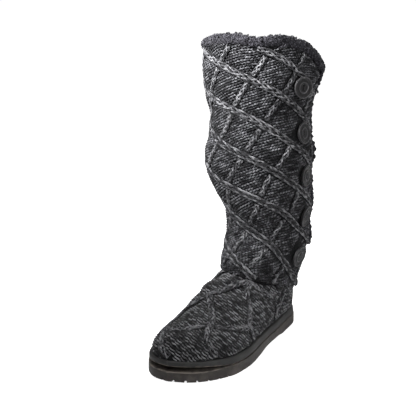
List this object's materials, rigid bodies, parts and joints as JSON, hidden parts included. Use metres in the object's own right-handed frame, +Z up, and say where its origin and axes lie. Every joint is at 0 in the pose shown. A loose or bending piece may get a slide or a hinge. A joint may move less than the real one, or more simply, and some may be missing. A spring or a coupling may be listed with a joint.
{
  "type": "knee-high boot",
  "caption": "Tall knitted pull-on boot for the left foot, with crossed cables, a buttoned side flap, a fleece edge and a flat lugged rubber sole.",
  "frame": {"origin": "middle of the heel's resting face, on the floor", "axes": "+Z up along the shaft, -Y towards the toe, +X towards the outer side of the left foot"},
  "size_m": [0.135, 0.2865, 0.336],
  "materials": {
    "outsole_rubber": "matt moulded rubber",
    "foxing_rubber": "smooth matt rubber",
    "insole_felt": "felt",
    "marled_knit": "knitted marled wool yarn",
    "fleece": "curly fleece",
    "button_plastic": "satin"
  },
  "bodies": {
    "root": {"outsole": "outsole_rubber", "foxing": "foxing_rubber", "insole": "insole_felt", "foot_upper": "marled_knit", "shaft": "marled_knit", "fleece_edge": "fleece", "button_1": "button_plastic", "button_2": "button_plastic", "button_3": "button_plastic", "button_4": "button_plastic", "button_5": "button_plastic"}
  },
  "joints": []
}
